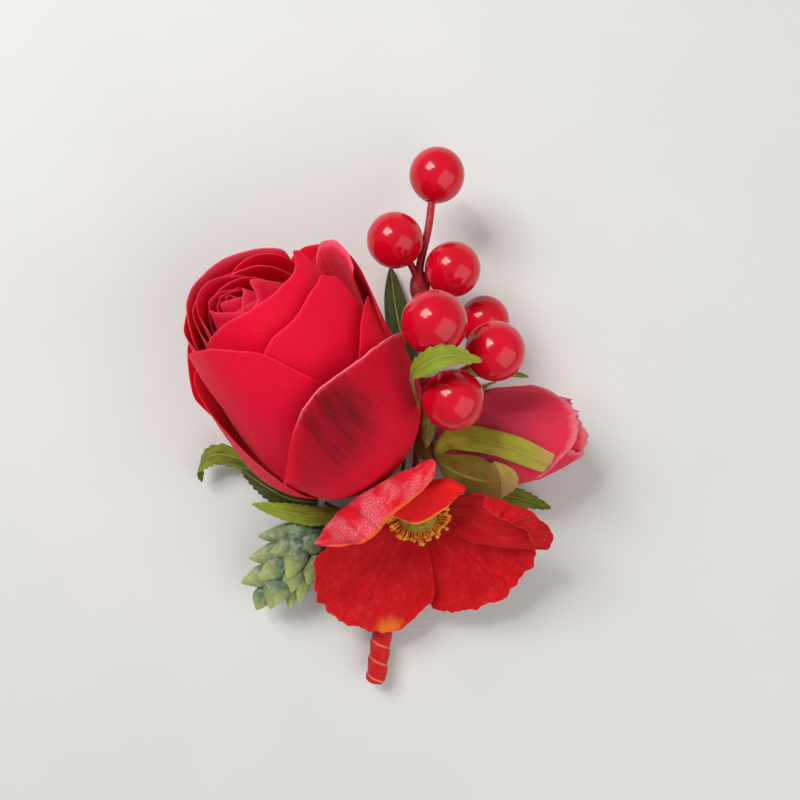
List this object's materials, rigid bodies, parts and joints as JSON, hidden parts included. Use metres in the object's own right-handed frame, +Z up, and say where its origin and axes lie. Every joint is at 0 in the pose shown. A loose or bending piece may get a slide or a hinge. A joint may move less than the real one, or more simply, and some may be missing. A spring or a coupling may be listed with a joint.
{
  "type": "corsage",
  "caption": "Artificial flower corsage: a large rose, a half-open poppy, a rosebud, glossy berries, a succulent sprig and leaves on wires bound in a ribbon-wrapped stem.",
  "frame": {"origin": "middle of the underside, where the corsage lies on a surface", "axes": "+Z up from the surface it lies on, +Y from the wrapped stem towards the berries, +X to the right seen from above"},
  "size_m": [0.088, 0.121, 0.0536],
  "materials": {
    "rose_cloth": "matt woven silk, hot-pressed, with darker streaks on the front petal",
    "bud_cloth": "matt woven silk, dusty towards the base, pale at the rims",
    "poppy_cloth": "crinkled silk, orange at the rims and the foot",
    "flower_core": "rolled cloth on foam",
    "calyx": "moulded, satin",
    "sepals": "moulded, satin, tan at the tips",
    "poppy_disc": "fine ribs",
    "stamens": "fine points",
    "leaf_cloth": "matt cloth with printed veins",
    "berry_bead": "high gloss lacquer",
    "berry_branch": "taped, slightly glossy",
    "succulent": "dusty bloom",
    "stem_wire": "paper-covered",
    "stem_tape": "satin ribbon with a pale edge"
  },
  "bodies": {
    "root": {"rose_petal_front_right": "rose_cloth", "rose_petal_low_left": "rose_cloth", "rose_petal_under": "rose_cloth", "rose_petal_back_right": "rose_cloth", "rose_petal_right_low": "rose_cloth", "rose_petal_front_left": "rose_cloth", "rose_petal_right": "rose_cloth", "rose_petal_left": "rose_cloth", "rose_petal_front_middle": "rose_cloth", "rose_petal_curled": "rose_cloth", "rose_petal_lip": "rose_cloth", "rose_petal_front_inner": "rose_cloth", "rose_petal_back": "rose_cloth", "rose_petal_lip_inner": "rose_cloth", "rose_petal_tip": "rose_cloth", "rose_petal_swirl_outer": "rose_cloth", "rose_petal_swirl_middle": "rose_cloth", "rose_core": "flower_core", "rose_calyx": "calyx", "bud_petal_top": "bud_cloth", "bud_petal_front": "bud_cloth", "bud_petal_below": "bud_cloth", "bud_petal_rear": "bud_cloth", "bud_petal_fold": "bud_cloth", "bud_petal_inner": "bud_cloth", "bud_core": "flower_core", "bud_calyx": "sepals", "poppy_petal_lower_left": "poppy_cloth", "poppy_petal_lower_right": "poppy_cloth", "poppy_petal_right": "poppy_cloth", "poppy_petal_tongue": "poppy_cloth", "poppy_petal_upper_left": "poppy_cloth", "poppy_receptacle": "calyx", "poppy_disc": "poppy_disc", "poppy_stamens": "stamens", "leaf_over_berries": "leaf_cloth", "leaf_between": "leaf_cloth", "leaf_behind_berries": "leaf_cloth", "leaf_under_rose": "leaf_cloth", "leaf_low_left": "leaf_cloth", "leaf_bent_tip": "leaf_cloth", "leaf_under_bud": "leaf_cloth", "leaf_behind_bud": "leaf_cloth", "succulent_sprig": "succulent", "stem_wrap": "stem_tape", "stem_rose": "stem_wire", "stem_poppy": "stem_wire", "stem_bud": "stem_wire", "berry_top": "berry_bead", "berry_left": "berry_bead", "berry_right": "berry_bead", "berry_middle": "berry_bead", "berry_back": "berry_bead", "berry_outer": "berry_bead", "berry_low": "berry_bead", "berry_branch": "berry_branch", "stem_leaves": "stem_wire", "stem_succulent": "stem_wire", "stem_foliage": "stem_wire"}
  },
  "joints": []
}
